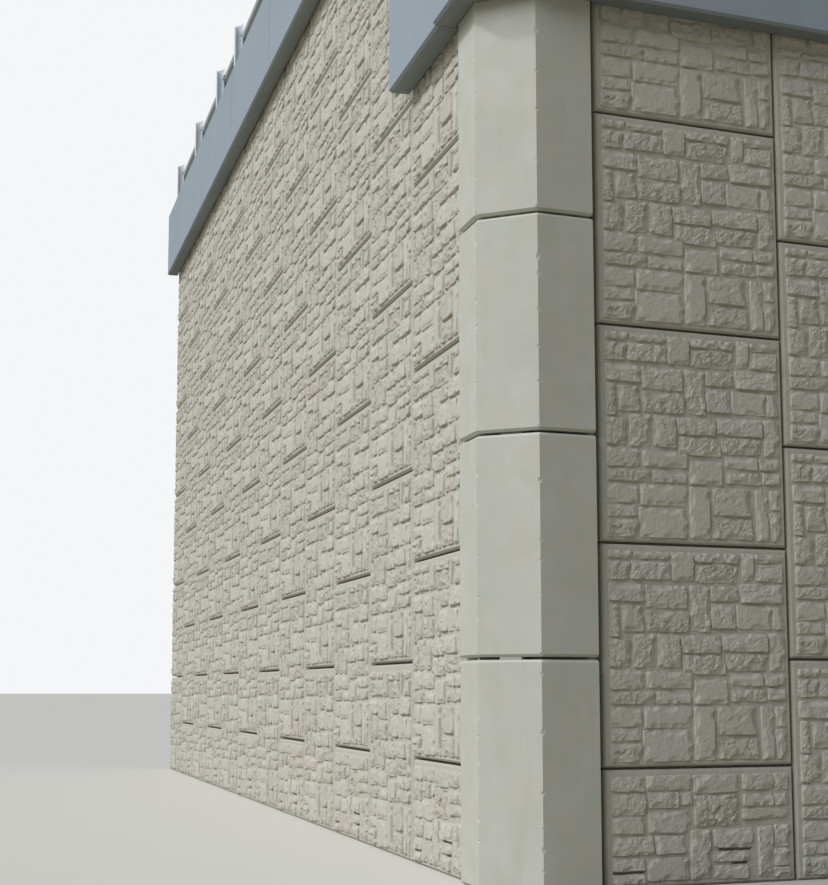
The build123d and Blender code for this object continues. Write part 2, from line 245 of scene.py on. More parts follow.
def noise(x, y, pitch, seed):
    """Smooth noise, -1 to 1: random values on a lattice of that pitch, joined by a cubic blend."""
    values = np.random.default_rng(seed).uniform(-1, 1, (NOISE_LATTICE, NOISE_LATTICE))
    column = np.floor(x / pitch).astype(int)
    row = np.floor(y / pitch).astype(int)
    across = x / pitch - column
    along = y / pitch - row
    across = across * across * (3 - 2 * across)
    along = along * along * (3 - 2 * along)
    near, far = column % NOISE_LATTICE, (column + 1) % NOISE_LATTICE
    low, high = row % NOISE_LATTICE, (row + 1) % NOISE_LATTICE
    bottom = values[low, near] * (1 - across) + values[low, far] * across
    top = values[high, near] * (1 - across) + values[high, far] * across
    return bottom * (1 - along) + top * along


def smooth_step(value):
    """0 below 0, 1 above 1, and a cubic between."""
    value = np.clip(value, 0, 1)
    return value * value * (3 - 2 * value)


def facets(u, v, pitch, seed):
    """Broken stone, -1 to 1: a tilted plane at each point of a jittered lattice of that pitch."""
    rng = np.random.default_rng(seed)
    places = rng.uniform(0.1, 0.9, (2, FACET_LATTICE, FACET_LATTICE))
    tilts = rng.uniform(-1, 1, (2, FACET_LATTICE, FACET_LATTICE))
    column = np.floor(u / pitch).astype(int)
    row = np.floor(v / pitch).astype(int)
    nearest = np.full(u.shape, np.inf)
    height = np.zeros(u.shape)
    for step in np.ndindex(3, 3):
        cell = (row + step[0] - 1) % FACET_LATTICE, (column + step[1] - 1) % FACET_LATTICE
        x = u / pitch - (column + step[1] - 1) - places[0][cell]
        y = v / pitch - (row + step[0] - 1) - places[1][cell]
        distance = np.hypot(x, y)
        closer = distance < nearest
        nearest = np.where(closer, distance, nearest)
        height = np.where(closer, tilts[0][cell] * x + tilts[1][cell] * y, height)
    return height


def split_face(u, v, stone, rough, rng):
    """Height of a stone's face, mm: the lowest of a tilted plane and the chips struck off its rim.

    A chip is a bowl, a paraboloid with its centre near the rim and longer along
    the rim than across it. Facets roughen the whole face, some stones' more.
    """
    left, low, right, high = stone
    middle = np.array([(left + right) / 2, (low + high) / 2])
    half = np.array([(right - left) / 2, (high - low) / 2])
    level = rng.uniform(*FACE_LEVELS)
    tilt = rng.uniform(-1, 1, 2) * FACE_TILT / half
    plane = level + tilt[0] * (u - middle[0]) + tilt[1] * (v - middle[1])
    shift = rng.uniform(0, 2000, 2)
    top = plane + rough * (
        COARSE_FACETS * facets(u + shift[0], v + shift[1], COARSE_FACET_SIZE, 6)
        + FINE_FACETS * facets(u, v, FINE_FACET_SIZE, 7))
    for _ in range(int(half.sum() / CHIP_SPACING) + 2):
        on_end = rng.uniform() < half[1] / half.sum()
        side = rng.choice((-1, 1))
        along = rng.uniform(-1, 1)
        reach = rng.uniform(*CHIP_REACHES)
        stretch = rng.uniform(*CHIP_STRETCHES)
        depth = rng.uniform(*CHIP_DEPTHS)
        centre = middle + half * ((side, along) if on_end else (along, side))
        spread = np.array([reach, reach * stretch] if on_end else [reach * stretch, reach])
        spread = np.minimum(spread, CHIP_SHARE * half + CHIP_EXTRA)
        bowl = ((u - centre[0]) / spread[0]) ** 2 + ((v - centre[1]) / spread[1]) ** 2
        top = np.minimum(top, plane + CHIP_RIM - depth * (1 - bowl))
    return top


def stones_of(height, whole):
    """Stones of a panel that high: its liner, begun again over a full rise and cut at the top."""
    liner = WHOLE_LINER if whole else HALF_LINER
    if whole and height > WHOLE_LINER_RISE:
        liner += tuple(
            (a, b + WHOLE_LINER_RISE, c, d + WHOLE_LINER_RISE)
            for a, b, c, d in liner if b < LOWEST_ROW)
    top = height - TOP_MARGIN
    return [(a, b, c, min(d, top)) for a, b, c, d in liner if b < top - LEAST_STONE]


def grid_lines(length, spans, sizes, cell):
    """Positions across a panel: its chamfers, the sides of the spans, and even cells between."""
    kept = sorted({0.0, sizes.chamfer, length - sizes.chamfer, length, *(
        edge + side for span in spans for edge in span for side in (-SLOT_SIDE, SLOT_SIDE))})
    lines = []
    for near, far in zip(kept, kept[1:]):
        lines.extend(np.linspace(near, far, ceil((far - near) / cell) + 1)[:-1])
    return np.array(lines + [length])


def bed_sheet(length, height, slots, sizes, cell):
    """Margin and beds of a panel on a grid: along and up it, and mm out from its datum.

    The face lies at the bed, chamfered at the rim, waves a little, and sinks into the slots.
    """
    u, v = np.meshgrid(
        grid_lines(length, [(slot[0], slot[2]) for slot in slots], sizes, cell),
        grid_lines(height, [(slot[1], slot[3]) for slot in slots], sizes, cell))
    rim = np.minimum(np.minimum(u, length - u), np.minimum(v, height - v))
    face = -sizes.bed - np.maximum(sizes.chamfer - rim, 0)
    face += smooth_step((rim - WAVE_MARGIN) / WAVE_MARGIN) * BED_WAVE * noise(u, v, WAVE_SIZE, 5)
    for left, low, right, high in slots:
        inside = np.minimum(np.minimum(u - left, right - u), np.minimum(v - low, high - v))
        face -= sizes.slot * np.clip(inside / SLOT_SIDE + 1, 0, 1)
    return u, v, face


def stone_places(s, t, stone, inset, corners, sizes):
    """Places along and up the panel at shares s across and t up a stone.

    A rectangle, whose corners are rounded by squeezing their squares into quarter
    discs, then skewed by a blend of the shifts of its four corners, then warped by noise.
    """
    left, low, right, high = stone
    half_u = (right - left) / 2 + sizes.grow - inset
    half_v = (high - low) / 2 + sizes.grow - inset
    radius = min(sizes.corner, half_u, half_v)
    x, y = (2 * s - 1) * half_u, (2 * t - 1) * half_v
    a = np.maximum(np.abs(x) - half_u + radius, 0) / radius
    b = np.maximum(np.abs(y) - half_v + radius, 0) / radius
    x -= np.sign(x) * radius * a * (1 - np.sqrt(1 - b * b / 2))
    y -= np.sign(y) * radius * b * (1 - np.sqrt(1 - a * a / 2))
    weights = np.stack([(1 - s) * (1 - t), s * (1 - t), (1 - s) * t, s * t], -1)
    shift = weights @ corners
    u = x + (left + right) / 2 + shift[..., 0]
    v = y + (low + high) / 2 + shift[..., 1]
    return (
        u + LONG_WARP * noise(u, v, 64, 1) + SHORT_WARP * noise(u, v, 23, 2),
        v + LONG_WARP * noise(u, v, 71, 3) + SHORT_WARP * noise(u, v, 21, 4),
    )


def stone_sheet(stone, rough, rng, sizes, cell_u, cell_v):
    """One stone on a grid: its split face, and the ring of its foot under the bed, as u, v, out."""
    corners = rng.uniform(-sizes.skew, sizes.skew, (4, 2))
    s, t = np.meshgrid(
        np.linspace(0, 1, ceil((stone[2] - stone[0]) / cell_u) + 1),
        np.linspace(0, 1, ceil((stone[3] - stone[1]) / cell_v) + 1))
    u, v = stone_places(s, t, stone, sizes.edge, corners, sizes)
    top = np.clip(split_face(u, v, stone, rough, rng), LEAST_STAND - sizes.bed, 0)
    foot_u, foot_v = stone_places(s, t, stone, 0, corners, sizes)
    foot = np.stack([foot_u, foot_v, np.full(s.shape, -sizes.bed - FOOT_DEPTH)], -1)
    return np.stack([u, v, top], -1), rim_of(foot)


def rim_of(grid):
    """The rim of a grid of points, once round."""
    return np.concatenate([grid[0, :-1], grid[:-1, -1], grid[-1, :0:-1], grid[:0:-1, 0]])


def closed_sheet(points, behind):
    """A grid closed by a skirt to a ring behind: its points, grid quads, skirt quads and back."""
    rows, columns = points.shape[:2]
    index = np.arange(rows * columns).reshape(rows, columns)
    quads = np.stack([
        index[:-1, :-1], index[:-1, 1:], index[1:, 1:], index[1:, :-1]], -1).reshape(-1, 4)
    rim = rim_of(index)
    ring = rows * columns + np.arange(len(rim))
    skirt = np.stack([rim, ring, np.roll(ring, -1), np.roll(rim, -1)], -1)
    return np.concatenate([points.reshape(-1, 3), behind]), quads, skirt, ring[::-1]


def linked(name, data):
    """A new object in the scene, at the origin."""
    made = bpy.data.objects.new(name, data)
    bpy.context.scene.collection.objects.link(made)
    return made


class MeshParts:
    """Collects vertices, faces and attributes of one piece from several sheets."""

    def __init__(self):
        self.points, self.faces, self.smooth, self.values = [], [], [], []
        self.count = 0

    def add(self, points, faces, smooth, values=None):
        """Adds a sheet. Its faces are arrays or lists of indices into its own points."""
        self.points.append(points)
        for group, is_smooth in zip(faces, smooth):
            moved = (np.asarray(group) + self.count).tolist()
            self.faces += moved
            self.smooth += [is_smooth] * len(moved)
        self.values.append(np.full((len(points), 3), BACK_VALUES) if values is None else values)
        self.count += len(points)

    def piece(self, name, material, attributes=()):
        """Makes the object, with its faces' smoothness and its point attributes."""
        mesh = bpy.data.meshes.new(name)
        mesh.from_pydata(np.concatenate(self.points).tolist(), [], self.faces)
        mesh.polygons.foreach_set("use_smooth", self.smooth)
        values = np.concatenate(self.values)
        for place, label in enumerate(attributes):
            layer = mesh.attributes.new(label, "FLOAT", "POINT")
            layer.data.foreach_set("value", values[:, place].astype(np.float32))
        mesh.materials.append(material)
        mesh.validate()
        return linked(name, mesh)


def wing_directions(side, wing_angle):
    """Level directions of a wing seen from outside: to the right along it, and out from it."""
    if side == "left":
        return np.array([1.0, 0, 0]), np.array([0, -1.0, 0])
    turn = pi - wing_angle
    return np.array([cos(turn), sin(turn), 0]), np.array([sin(turn), -cos(turn), 0])


def node_arrays(name):
    """A CAD node's vertices in mm and its triangles, with doubles merged."""
    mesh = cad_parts[name].data
    points = np.zeros(len(mesh.vertices) * 3)
    mesh.vertices.foreach_get("co", points)
    points = points.reshape(-1, 3) / MM
    loops = np.zeros(len(mesh.loops), int)
    mesh.loops.foreach_get("vertex_index", loops)
    unique, places = np.unique(points.round(2), axis=0, return_inverse=True)
    return unique, places.reshape(-1)[loops].reshape(-1, 3)


def column_piece(name, side, cell_u, cell_v, material, sizes):
    """A column of panels: cast faces in front, and the construction model's lips and backs behind.

    The stones' grids have cells of cell_u along the wing by cell_v up it, mm.
    """
    across, outward = wing_directions(side, sizes.wing_angle)
    points, triangles = node_arrays(name)
    out = points @ outward
    datum = out.max()
    rim = np.abs(out - (datum - sizes.bed - sizes.chamfer)) < 1
    levels = np.unique(points[rim, 2].round(1))
    right_of = points[rim] @ across
    start, width = right_of.min(), right_of.max() - right_of.min()
    frame_of = np.stack([across, [0, 0, 1.0], outward])
    parts = MeshParts()
    kept = triangles[(out[triangles] < datum - sizes.front_slab + 1).all(1)]
    used, places = np.unique(kept, return_inverse=True)
    parts.add(points[used] * MM, [places.reshape(-1, 3)], [False])
    for bottom, top in zip(levels[0::2], levels[1::2]):
        origin = np.array([start, bottom, datum])
        whole = top - bottom > HALF_PANEL_LIMIT or bottom > 0
        slots = () if whole else HALF_LINER_SLOTS
        rng = np.random.default_rng(int(bottom) + sum(map(ord, name)))
        cast = rng.uniform(-CAST_SPREAD, CAST_SPREAD)
        bed = np.stack(bed_sheet(width, top - bottom, slots, sizes, BED_CELL), -1)
        behind = rim_of(bed).copy()
        behind[:, 2] = 1 - sizes.front_slab
        sheets = [(bed, behind, BED_TINT, BED_ROUGH)]
        for number, stone in enumerate(stones_of(top - bottom, whole)):
            rng = np.random.default_rng(sizes.seed * 1000 + number + (0 if whole else 500))
            tint, rough = rng.uniform(0, 1), rng.uniform(0.25, 1) ** 2
            sheets.append(stone_sheet(stone, rough, rng, sizes, cell_u, cell_v) + (tint, rough))
        for grid, ring, tint, rough in sheets:
            sheet, quads, skirt, back = closed_sheet(grid, ring)
            # How deep a point lies, which sets the painted shade in the beds, slots and feet
            shade_depth = np.clip(-sheet[:, 2] / sizes.bed, 0, 1.5)
            same = np.ones(len(sheet))
            values = np.stack([same * (tint + cast), shade_depth, same * rough], -1)
            parts.add((sheet + origin) @ frame_of * MM, [quads, skirt, [back]], [False] * 3, values)
    return parts.piece(name + "_stones", material, ("stone_tint", "shade_depth", "stone_rough"))


def ring_faces(rings, sides):
    """Faces of rings of points one over another: quads between them, and a flat end at each end."""
    index = np.arange(rings * sides).reshape(rings, sides)
    around = np.roll(index, -1, 1)
    quads = np.stack([index[:-1], around[:-1], around[1:], index[1:]], -1).reshape(-1, 4)
    return [quads, [index[0, ::-1]], [index[-1]]]


def turned(profile, sides):
    """A profile of (radius, height) pairs, mm, turned round the z axis on so many sides."""
    turn = np.linspace(0, 2 * pi, sides, endpoint=False)
    radius, height = np.array(profile, float).T
    points = np.stack([
        np.outer(radius, np.cos(turn)), np.outer(radius, np.sin(turn)),
        np.outer(height, np.ones(sides))], -1)
    return points.reshape(-1, 3), ring_faces(len(profile), sides)


def hexagon(bolt, low, high):
    """A hexagon nut or head for a bolt of that diameter, from low to high, its rims chamfered."""
    reach, arris = bolt * 0.89, bolt * 0.07
    end = reach - 1.5 * arris
    return turned([(end, low), (reach, low + arris), (reach, high - arris), (end, high)], 6)


def anchor_shapes(bolt, stand):
    """An anchor over its plate: washer, nut, and the bolt's end with a chamfered tip."""
    return [
        turned([(bolt, 0), (bolt, 3)], 20), hexagon(bolt, 3, 3 + 0.9 * bolt),
        turned([(bolt / 2, 0.9 * bolt), (bolt / 2, stand - 3), (bolt / 2 - 2.5, stand)], 14),
    ]


def button_shapes(bolt, grip):
    """A button-headed bolt through a sheet at height 0: dome above, nut and end grip mm below."""
    steps = np.linspace(0, 1.35, 5)
    dome = [(bolt * 0.95 * cos(step), 1.5 + bolt * 0.42 * sin(step)) for step in steps]
    return [
        turned([(bolt * 0.95, 0)] + dome, 16), hexagon(bolt, -grip - 0.8 * bolt, -grip),
        turned([(bolt / 2, -grip - 1.2 * bolt), (bolt / 2, -grip - 0.7 * bolt)], 10),
    ]


def tie_bolt_shapes(bolt, thickness):
    """A hexagon bolt down through a flat strip of that thickness centred on height 0."""
    half = thickness / 2
    return [
        hexagon(bolt, half, half + 0.62 * bolt), hexagon(bolt, -half - 0.85 * bolt, -half),
        turned([(bolt / 2, -half - 1.6 * bolt), (bolt / 2, -half - 0.8 * bolt)], 8),
    ]


def repeated(name, groups, material):
    """One piece of groups of shapes, places and axes, in mm.

    Each shape of a group stands at each of its places, with its x, y and z along the axes' rows.
    """
    parts = MeshParts()
    for shapes, places, axes in groups:
        for place in places:
            for points, faces in shapes:
                parts.add((points @ axes + place) * MM, faces, [False] * len(faces))
    return parts.piece(name, material)


def post_centres():
    """Middles of the posts' base plates on their tops, mm, in order from the corner."""
    points, _ = node_arrays("rail_posts")
    levels = np.unique(points[:, 2])
    foot = points[points[:, 2] == levels[0]]
    edges = np.unique(foot[:, 0])[::-1]
    depth = (foot[:, 1].min() + foot[:, 1].max()) / 2
    return np.array([(middle, depth, levels[1]) for middle in (edges[0::2] + edges[1::2]) / 2])


def strip_ends(name, side, sizes):
    """Middles of a node's tie strips' free ends, mm: midway between paired edges and levels."""
    across, outward = wing_directions(side, sizes.wing_angle)
    points, _ = node_arrays(name)
    out = points @ outward
    free = points[out < out.min() + 1]
    level, along = free[:, 2].round(1), (free @ across).round(1)
    levels = np.unique(level)
    places = []
    for low, high in zip(levels[0::2], levels[1::2]):
        edges = np.unique(along[level == low])
        for middle in (edges[0::2] + edges[1::2]) / 2:
            places.append(across * middle + outward * out.min() + (0, 0, (low + high) / 2))
    return places


def block_of(length, depth, height, arris):
    """A block round the z axis from height 0, its upright arrises and its rims cut off."""
    x, y = length / 2, depth / 2
    outline = np.array([
        (x, y - arris), (x - arris, y), (arris - x, y), (-x, y - arris),
        (-x, arris - y), (arris - x, -y), (x - arris, -y), (x, arris - y)])
    shrink = 1 - 2 * arris / np.array([length, depth])
    rings = [np.c_[outline * scale, np.full(8, level)] for scale, level in (
        (shrink, 0), (1, arris), (1, height - arris), (shrink, height))]
    return np.concatenate(rings), ring_faces(4, 8)


def corner_axes(wing_angle):
    """Level directions of the corner's middle facet from outside: right along it, and outward."""
    outward = wing_directions("left", wing_angle)[1] + wing_directions("right", wing_angle)[1]
    outward = outward / np.linalg.norm(outward)
    return np.array([-outward[1], outward[0], 0]), outward


def front_of(points, outward):
    """The points that stand furthest out, to within a millimetre."""
    out = points @ outward
    return points[out > out.max() - 1]


def chipped_block(name, material, sizes):
    """A corner block with chips broken out of its middle facet's two upright arrises.

    Level planes cut the construction model's mesh above, at and below each chip, and
    upright planes beside the arrises. The arris's own point at the chip's height then
    moves into the block, so that the chip is a shallow four-sided dent.
    """
    along, outward = corner_axes(sizes.wing_angle)
    points, triangles = node_arrays(name)
    rng = np.random.default_rng(sizes.seed + sum(map(ord, name)))
    whole = (triangles != np.roll(triangles, 1, 1)).all(1)
    mesh = bpy.data.meshes.new(name + "_cast")
    mesh.from_pydata(points.tolist(), [], triangles[whole].tolist())
    shape = bmesh.new()
    shape.from_mesh(mesh)
    front = front_of(points, outward)
    low, high = front[:, 2].min(), front[:, 2].max()
    ends = [front[(front @ along).argmin()], front[(front @ along).argmax()]]
    for end in ends:
        for away in (-sizes.chip_reach, sizes.chip_reach):
            cut(shape, end + along * away, along)
    moves = []
    for end, sign in zip(ends, (1, -1)):
        level = low
        while level < high:
            half = rng.uniform(*ARRIS_CHIP_HALVES)
            inwards = along * sign * ARRIS_CHIP_SLANT - outward
            moves.append((end, level, inwards * rng.uniform(*ARRIS_CHIP_DEPTHS)))
            for height in (level - half, level, level + half):
                cut(shape, (0, 0, height), (0, 0, 1))
            level += rng.uniform(*ARRIS_CHIP_STEPS)
    shape.to_mesh(mesh)
    shape.free()
    points = np.zeros(len(mesh.vertices) * 3)
    mesh.vertices.foreach_get("co", points)
    points = points.reshape(-1, 3)
    for end, level, move in moves:
        near = np.hypot(*(points[:, :2] - end[:2]).T) < 0.5
        points[near & (np.abs(points[:, 2] - level) < 0.5)] += move
    mesh.vertices.foreach_set("co", (points * MM).ravel())
    mesh.update()
    mesh.materials.append(material)
    return linked(name + "_cast", mesh)


def cut(shape, place, normal):
    """Cuts a mesh's faces where they cross a plane."""
    everything = shape.verts[:] + shape.edges[:] + shape.faces[:]
    bmesh.ops.bisect_plane(shape, geom=everything, dist=0.05, plane_co=place, plane_no=normal)


# Materials

def new_material(name):
    """A new material: itself, its node tree, its shader and the coordinates for its patterns."""
    material = bpy.data.materials.new(name)
    material.use_nodes = True
    tree = material.node_tree
    tree.nodes.clear()
    shader = add_node(tree, "ShaderNodeBsdfPrincipled")
    add_node(tree, "ShaderNodeOutputMaterial", {"Surface": shader.outputs["BSDF"]})
    return material, tree, shader, add_node(tree, "ShaderNodeTexCoord").outputs["Object"]


def add_node(tree, kind, inputs=None, **settings):
    """Adds a node with its settings, and its inputs as values or links."""
    made = tree.nodes.new(kind)
    for name, value in settings.items():
        setattr(made, name, value)
    for name, value in (inputs or {}).items():
        if isinstance(value, bpy.types.NodeSocket):
            tree.links.new(value, made.inputs[name])
        else:
            made.inputs[name].default_value = value
    return made


def tinted(colour, gains):
    """A linear colour times a gain for each channel."""
    return [min(1, channel * gain) for channel, gain in zip(colour, gains)] + [1]


def laid_over(tree, colour, other, mask, low, high, most=1.0):
    """Another colour laid over one: none where the mask is low, and most where it's high."""
    share = add_node(tree, "ShaderNodeMapRange", {
        "Value": mask, "From Min": low, "From Max": high, "To Max": most})
    return add_node(tree, "ShaderNodeMix", {
        0: share.outputs["Result"], 6: colour, 7: other}, data_type="RGBA").outputs[2]


def pattern(tree, where, size, detail=4.0, roughness=0.55, stretch=(1, 1, 1)):
    """Cloudy noise with features size mm apart, stretched by real factors along X, Y and Z."""
    mapped = add_node(tree, "ShaderNodeMapping", {"Vector": where, "Scale": stretch})
    made = add_node(tree, "ShaderNodeTexNoise", {
        "Vector": mapped.outputs["Vector"], "Scale": per_metre(size), "Detail": detail,
        "Roughness": roughness})
    return made.outputs["Fac"]


def broken_facets(tree, where, size):
    """Broken stone, -1 to 1: a plane of its own tilt around points about size mm apart."""
    cells = add_node(tree, "ShaderNodeTexVoronoi", {"Vector": where, "Scale": per_metre(size)})
    away = add_node(tree, "ShaderNodeVectorMath", {
        0: where, 1: cells.outputs["Position"]}, operation="SUBTRACT")
    tilt = add_node(tree, "ShaderNodeVectorMath", {
        0: cells.outputs["Color"], 1: (0.5, 0.5, 0.5)}, operation="SUBTRACT")
    height = add_node(tree, "ShaderNodeVectorMath", {
        0: away.outputs[0], 1: tilt.outputs[0]}, operation="DOT_PRODUCT")
    return add_node(tree, "ShaderNodeMath", {
        0: height.outputs["Value"], 1: 2 * per_metre(size)}, operation="MULTIPLY").outputs[0]


def finish_with(tree, shader, colour, dullness, height, strength, distance):
    """Joins a colour, a roughness and a bump to the shader.

    dullness is one roughness, or a mask, its range and the roughness at both its ends.
    The bump's distance is in metres.
    """
    tree.links.new(colour, shader.inputs["Base Color"])
    if isinstance(dullness, tuple):
        mask, low, high, least, most = dullness
        spread = add_node(tree, "ShaderNodeMapRange", {
            "Value": mask, "From Min": low, "From Max": high, "To Min": least, "To Max": most})
        tree.links.new(spread.outputs["Result"], shader.inputs["Roughness"])
    else:
        shader.inputs["Roughness"].default_value = dullness
    bump = add_node(tree, "ShaderNodeBump", {
        "Height": height, "Strength": strength, "Distance": distance})
    tree.links.new(bump.outputs["Normal"], shader.inputs["Normal"])


def stained_panel_concrete(colours):
    """Wet-cast concrete from a rubber form liner under a warm grey stain.

    Matte and slightly mottled; each stone took the stain a little differently,
    and a painted shade darkens the beds, the more the deeper they lie.
    """
    material, tree, shader, where = new_material("stained_panel_concrete")
    tint, shade_depth, rough = (
        add_node(tree, "ShaderNodeAttribute", attribute_name=name).outputs["Fac"]
        for name in ("stone_tint", "shade_depth", "stone_rough"))
    base, dirt_and_shade = linear(colours.panel), linear(colours.panel_dirt_and_shade)
    deep = tinted(base, (0.92, 0.92, 0.90))

    # Each stone's tint: dark to light, and by its fraction after a gain of 5.3 warm to cool
    other = add_node(tree, "ShaderNodeMath", {0: tint, 1: 5.3}, operation="MULTIPLY").outputs[0]
    other = add_node(tree, "ShaderNodeMath", {0: other}, operation="FRACT").outputs[0]
    warm, cool = (
        laid_over(tree, tinted(base, dark), tinted(base, light), tint, 0, 1) for dark, light in (
            ((0.95, 0.92, 0.89), (1.04, 1.03, 1.0)), ((0.92, 0.94, 0.89), (1.0, 1.01, 1.01))))
    colour = laid_over(tree, warm, cool, other, 0, 1)

    # Clouds of the stain, thin wash lines, and painted shade in the hollows
    colour = laid_over(tree, colour, deep, pattern(tree, where, 900, 5, 0.6), 0.35, 0.7, 0.35)
    streak = pattern(tree, where, 90, 3, 0.5, (1, 1, 0.08))
    colour = laid_over(tree, colour, dirt_and_shade, streak, 0.55, 0.75, 0.16)
    grain = pattern(tree, where, 7, 3, 0.6)  # sand of 1 mm wouldn't show
    colour = laid_over(tree, colour, deep, grain, 0.42, 0.7, 0.22)
    # Painted shade: the deeper a point lies, the darker
    colour = laid_over(tree, colour, dirt_and_shade, shade_depth, 0.7, 1.4, 0.22)

    # Breaks in patches on the rough stones, and waves that are half as high on the smooth ones
    patches = add_node(tree, "ShaderNodeMapRange", {
        "Value": pattern(tree, where, 190, 2), "From Min": 0.42, "From Max": 0.6, "To Min": 0.35})
    strong = add_node(tree, "ShaderNodeMath", {
        0: rough, 1: patches.outputs["Result"]}, operation="MULTIPLY").outputs[0]
    steady = add_node(tree, "ShaderNodeMapRange", {
        "Value": rough, "From Min": 0.1, "From Max": 0.7, "To Min": 0.5})
    waves = add_node(tree, "ShaderNodeMath", {
        0: pattern(tree, where, 26, 5, 0.62), 1: steady.outputs["Result"],
    }, operation="MULTIPLY").outputs[0]
    broken = add_node(tree, "ShaderNodeMath", {
        0: broken_facets(tree, where, 52), 1: strong, 2: waves,
    }, operation="MULTIPLY_ADD").outputs[0]
    finish_with(tree, shader, colour, (grain, 0.3, 0.7, 0.78, 0.93), broken, 1.0, 0.01)
    shader.inputs["IOR"].default_value = 1.5
    shader.inputs["Specular IOR Level"].default_value = 0.25
    return material


def stained_block_concrete(colours):
    """Concrete from a steel form under the same stain.

    Smooth and even, with faint cloudy marks from the form, small air holes and
    thin streaks under the joints.
    """
    material, tree, shader, where = new_material("stained_block_concrete")
    base, dirt_and_shade = linear(colours.block), linear(colours.panel_dirt_and_shade)
    cloud = pattern(tree, where, 420, 4, 0.55)
    light, dark = tinted(base, (1.01, 1.01, 1.0)), tinted(base, (0.88, 0.89, 0.87))
    warm, green = tinted(base, (0.96, 0.92, 0.87)), tinted(base, (0.90, 0.93, 0.86))
    colour = laid_over(tree, light, dark, cloud, 0.38, 0.66, 0.6)
    colour = laid_over(tree, colour, warm, pattern(tree, where, 260, 2, 0.5), 0.42, 0.6, 0.55)
    colour = laid_over(tree, colour, green, pattern(tree, where, 180, 2, 0.5), 0.5, 0.66, 0.5)
    streak = pattern(tree, where, 75, 4, 0.5, (1, 1, 0.08))
    colour = laid_over(tree, colour, dirt_and_shade, streak, 0.58, 0.78, 0.1)

    # Air holes about 5 mm across, in patches, with painted shade inside them
    holes = add_node(tree, "ShaderNodeTexVoronoi", {"Vector": where, "Scale": per_metre(55)})
    inside = add_node(tree, "ShaderNodeMapRange", {
        "Value": holes.outputs["Distance"], "From Min": 0.03, "From Max": 0.075,
        "To Min": 1, "To Max": 0})
    patches = add_node(tree, "ShaderNodeMapRange", {
        "Value": pattern(tree, where, 160, 2), "From Min": 0.5, "From Max": 0.56})
    pits = add_node(tree, "ShaderNodeMath", {
        0: inside.outputs["Result"], 1: patches.outputs["Result"]}, operation="MULTIPLY").outputs[0]
    # Painted shade inside the air holes
    colour = laid_over(tree, colour, dirt_and_shade, pits, 0, 1, 0.4)
    grain = pattern(tree, where, 6, 3, 0.6)  # sand of 1 mm wouldn't show
    height = add_node(tree, "ShaderNodeMath", {0: grain, 1: pits}, operation="SUBTRACT").outputs[0]
    finish_with(tree, shader, colour, (cloud, 0.3, 0.7, 0.62, 0.8), height, 0.25, 0.002)
    shader.inputs["IOR"].default_value = 1.5
    shader.inputs["Specular IOR Level"].default_value = 0.3
    return material


def coping_coating(colours):
    """Acrylic coating rolled on cast concrete.

    Even blue-grey with a fine stipple, washed a little paler and darker in
    long clouds, with thin run marks from the top edge, and a painted shade underneath, warm like
    light thrown up by the wall.
    """
    material, tree, shader, where = new_material("coping_coating")
    base = linear(colours.coping)
    cloud = pattern(tree, where, 1300, 4, 0.6)
    colour = laid_over(tree, base, tinted(base, (0.88, 0.89, 0.90)), cloud, 0.38, 0.66, 0.6)
    runs = pattern(tree, where, 45, 3, 0.5, (1, 1, 0.04))
    colour = laid_over(tree, colour, linear(colours.dull_zinc), runs, 0.57, 0.8, 0.28)
    normal = add_node(tree, "ShaderNodeNewGeometry").outputs["True Normal"]
    upwards = add_node(tree, "ShaderNodeSeparateXYZ", {"Vector": normal}).outputs["Z"]
    # Painted shade on faces that look down, warm like light bounced off the wall
    colour = laid_over(tree, colour, linear(colours.painted_shade), upwards, -0.5, -0.95, 0.5)
    stipple = pattern(tree, where, 5, 2, 0.5)  # a roller leaves about 2 mm, too fine to show
    finish_with(tree, shader, colour, (cloud, 0.3, 0.7, 0.5, 0.66), stipple, 0.35, 0.0015)
    shader.inputs["IOR"].default_value = 1.48
    shader.inputs["Specular IOR Level"].default_value = 0.35
    return material


def galvanised_steel(name, colour_hex, metallic, spangle):
    """Hot-dip zinc on rolled steel, weathered.

    Light and dull, in crystals about spangle mm across that differ a little in
    grey, with white bloom where water stood.
    """
    material, tree, shader, where = new_material(name)
    base = linear(colour_hex)
    crystals = add_node(tree, "ShaderNodeTexVoronoi", {
        "Vector": where, "Scale": per_metre(spangle)})
    shade = add_node(tree, "ShaderNodeSeparateColor", {
        "Color": crystals.outputs["Color"]}).outputs["Red"]
    colour = laid_over(tree, base, tinted(base, (0.8, 0.8, 0.8)), shade, 0, 1, 0.7)
    cloud = pattern(tree, where, 120, 4, 0.6, (1, 1, 0.3))
    colour = laid_over(tree, colour, tinted(base, (1.25, 1.25, 1.25)), cloud, 0.5, 0.72, 0.5)
    finish_with(tree, shader, colour, (shade, 0, 1, 0.42, 0.62), cloud, 0.15, 0.001)
    shader.inputs["Metallic"].default_value = metallic
    return material


def moulded_pad(name, colour_hex):
    """Moulded rubber or plastic, dull with a dusty bloom."""
    material, tree, shader, where = new_material(name)
    base = linear(colour_hex)
    dusty = [min(1, channel + 0.03) for channel in base[:3]] + [1]
    dust = pattern(tree, where, 20, 4, 0.6)
    colour = laid_over(tree, base, dusty, dust, 0.45, 0.7)
    finish_with(tree, shader, colour, 0.75, dust, 0.2, 0.001)
    return material


